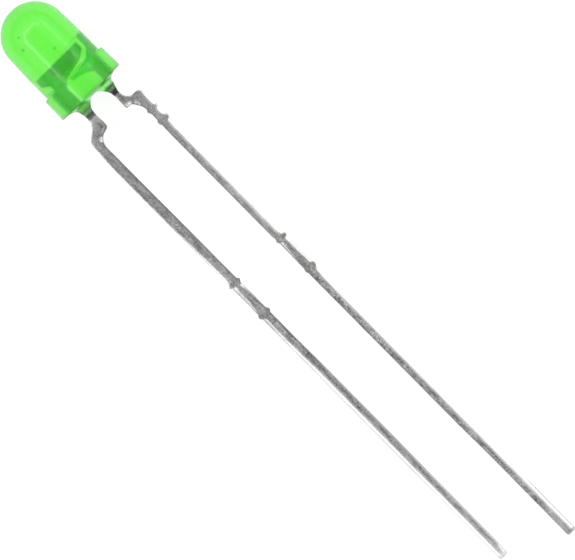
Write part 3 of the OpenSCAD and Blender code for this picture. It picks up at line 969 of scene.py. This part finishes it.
def neck_resin(bm, neck, painted_shade, thin, deep_shade):
    """Adds the resin drawn down a neck, and returns the loop where it meets the underside."""
    loops = []
    for d in NECK_DEPTHS:
        loop = []
        for u, t in drawn_down(neck, d):
            base = under(u, t)
            loop.append(bm.verts.new((u, t, base - (WICK_END + base) * d / WICK_H)))
            # Painted shade and a painted glow by height, and the underside's painted deeper green at the top.
            loop[-1][painted_shade] = blend_keys(neck.painted_shade, -loop[-1].co.z)
            loop[-1][thin] = blend_keys(neck.thin, -loop[-1].co.z)
            loop[-1][deep_shade] = blend_keys([(0.0, UNDER_DEEP_SHADE), (0.08, 0.0)], d)
        loops.append(loop)
    lip = [bm.verts.new((neck.u + (v.co.x - neck.u) * 0.8, v.co.y * 0.8, -WICK_LIP)) for v in loops[-1]]
    for vert in lip:
        vert[painted_shade] = blend_keys(neck.painted_shade, WICK_H)
        vert[thin] = blend_keys(neck.thin, WICK_H)
    skin(bm, loops + [lip])
    bm.faces.new(lip)
    return loops[0]


def underside(bm, rim, holes, painted_shade, deep_shade):
    """Closes the underside between the rim and the holes of the necks, over a grid of points."""
    owners = []
    edges = []
    for loop in [rim] + holes:
        first, count = len(owners), len(loop)
        edges += [(first + k, first + (k + 1) % count) for k in range(count)]
        owners += loop
    most = int(UNDERSIDE_R / GRID) + 1
    for i in range(-most, most + 1):
        for j in range(-most, most + 1):
            u, t = i * GRID, (j + 0.5 * (i % 2)) * GRID
            beside_neck = abs(t) < SHEET_T / 2 + KEEP_T and any(abs(u - n.u) < n.width / 2 + KEEP_U for n in NECKS)
            if math.hypot(u, t) > UNDERSIDE_R - GRID or beside_neck:
                continue
            owners.append(bm.verts.new((u, t, under(u, t))))
            # Painted shade and a painted deeper green on the underside.
            owners[-1][painted_shade] = UNDER_SHADE
            owners[-1][deep_shade] = UNDER_DEEP_SHADE
    flat = [Vector((v.co.x, v.co.y)) for v in owners]
    outlines = [[(v.co.x, v.co.y) for v in loop] for loop in holes]
    for middle, verts in fill(bm, flat, owners, edges, False):
        if math.hypot(*middle) <= UNDERSIDE_R and not any(within(*middle, outline) for outline in outlines):
            bm.faces.new(verts)


def resin_body():
    """The casting: a dome, a barrel and a flange, with the resin bulging at the underside and drawn down both necks."""
    bm = bmesh.new()
    painted_shade, thin, deep_shade = (bm.verts.layers.float.new(name) for name in ("painted_shade", "thin", "deep_shade"))
    loops = revolve(bm, casting_profile(), BODY_STEPS)
    apex = bm.verts.new((0, 0, BODY_H))
    for k in range(BODY_STEPS):
        bm.faces.new((apex, loops[0][k], loops[0][(k + 1) % BODY_STEPS]))
    # Painted shade on the flange's lower rim.
    for loop, amount in zip(loops[-len(RIM_SHADE):], RIM_SHADE):
        for vert in loop:
            vert[painted_shade] = amount
    holes = [neck_resin(bm, neck, painted_shade, thin, deep_shade) for neck in NECKS]
    underside(bm, loops[-1], holes, painted_shade, deep_shade)
    piece("resin_body", bm, RESIN, 40, ["epoxy_body"])


# ---------------------------------------------------------------- wire, chip and adhesive
def bond_wire():
    """A low natural loop of gold wire, from a ball on the chip to a flattened stitch on the anode's head."""
    bm = bmesh.new()
    points = (
        (0, 0, CHIP_TOP + 0.01),
        (0, 0, CHIP_TOP + 0.06),
        (0.02, 0.003, 1.90),
        (0.1, 0.006, 1.95),
        (0.4, 0.008, 2.0),
        (0.75, 0.004, 2.06),
        (0.93, 0, HEAD_H + 0.03),
        (STITCH_U, 0, HEAD_H + 0.008),
    )
    path = catmull([Vector(p) for p in points], WIRE_STEPS)
    turns = [2 * math.pi * k / WIRE_SIDES for k in range(WIRE_SIDES)]
    loops = []
    for i, p in enumerate(path):
        way = (path[min(i + 1, len(path) - 1)] - path[max(i - 1, 0)]).normalized()
        side = way.cross(Vector((0, 1, 0))).normalized()
        other = way.cross(side)
        loops.append([bm.verts.new(p + (side * math.cos(f) + other * math.sin(f)) * WIRE_R) for f in turns])
    skin(bm, loops)
    close_ends(bm, loops)
    for at, size in (((0, 0, CHIP_TOP + 0.014), WIRE_BALL), ((STITCH_U, 0, HEAD_H + 0.008), WIRE_STITCH)):
        shape = Matrix.Translation(at) @ Matrix.Diagonal((*size, 1))
        bmesh.ops.create_uvsphere(bm, u_segments=16, v_segments=8, radius=1, matrix=shape)
    piece("bond_wire_loop", bm, GOLD, 50, ["bond_wire"])


def finish_nodes():
    """The chip and the adhesive keep their CAD bodies and get their materials."""
    for name, material, slot in (("led_die", CHIP, "chip"), ("die_attach", ADHESIVE, "adhesive")):
        node = frame["nodes"][name]
        node.data.materials.clear()
        node.data.materials.append(material)


# ---------------------------------------------------------------- floor, light and camera
def floor():
    """White paper: it shows white to the camera and in metal and resin, and still takes the object's shadow."""
    bm = bmesh.new()
    bmesh.ops.create_grid(bm, x_segments=2, y_segments=2, size=FLOOR_HALF)
    mesh = bpy.data.meshes.new("floor")
    bm.to_mesh(mesh)
    bm.free()
    obj = bpy.data.objects.new("floor", mesh)
    bpy.context.scene.collection.objects.link(obj)
    material = bpy.data.materials.new("paper")
    material.use_nodes = True
    g = Graph(material.node_tree)
    g.nodes.clear()
    seen = g.seen_by("Is Camera Ray", "Is Glossy Ray", "Is Transmission Ray")
    glow = g.add("ShaderNodeEmission", {"Strength": g.calc("MULTIPLY", seen, FLOOR_GLOW)})
    paper = g.add("ShaderNodeBsdfDiffuse", {"Color": FLOOR_PAPER})
    both = g.add("ShaderNodeAddShader")
    g.feed(both.inputs[0], paper.outputs[0])
    g.feed(both.inputs[1], glow.outputs[0])
    g.add("ShaderNodeOutputMaterial", {"Surface": both.outputs[0]})
    mesh.materials.append(material)


def world():
    """A light tent: dimmer near the floor and straight overhead, where it is open, and white to the camera."""
    tent = bpy.data.worlds.new("tent")
    bpy.context.scene.world = tent
    tent.use_nodes = True
    g = Graph(tent.node_tree)
    direction = g.add("ShaderNodeTexCoord").outputs["Generated"]
    height = g.add("ShaderNodeSeparateXYZ", {"Vector": direction}).outputs["Z"]
    walls = g.ramp(height, *((at, grey(level)) for at, level in TENT))
    colour = g.mix(g.seen_by("Is Camera Ray", "Is Transmission Ray"), walls, WHITE)
    g.feed(g.nodes["Background"].inputs["Color"], colour)


def strip(name, away, direction, length, width, level, shift):
    """A long soft light that faces LIGHTS_AIM from away degrees off straight up, moved along itself by shift."""
    light = bpy.data.lights.new(name, "AREA")
    light.shape = "RECTANGLE"
    light.size = length
    light.size_y = width
    light.energy = level * math.pi * length * width
    obj = bpy.data.objects.new(name, light)
    bpy.context.scene.collection.objects.link(obj)
    a, b = math.radians(away), math.radians(direction)
    at = Vector((math.sin(a) * math.cos(b), math.sin(a) * math.sin(b), math.cos(a))) * LIGHT_AWAY
    inward = -at.normalized()
    along = Vector((-math.sin(b), math.cos(b), 0))
    across = inward.cross(along)
    facing = Matrix((along, across, -inward)).transposed().to_4x4()
    obj.matrix_world = Matrix.Translation(at + Vector(LIGHTS_AIM) + along * shift) @ facing


def camera():
    """A long lens straight above the object, turned so that the object lies along the picture's diagonal."""
    data = bpy.data.cameras.new("camera")
    data.lens = CAMERA_LENS
    data.sensor_width = CAMERA_SENSOR
    data.clip_start, data.clip_end = CAMERA_CLIP
    obj = bpy.data.objects.new("camera", data)
    bpy.context.scene.collection.objects.link(obj)
    obj.location = CAMERA_AT
    obj.rotation_euler = (0, 0, math.radians(CAMERA_TURN))
    bpy.context.scene.camera = obj


anode_lead()
cathode_lead()
bond_wire()
resin_body()
finish_nodes()
floor()
world()
for values in LIGHT_RING:
    strip(*values)
camera()
bpy.context.scene.view_settings.view_transform = "Standard"
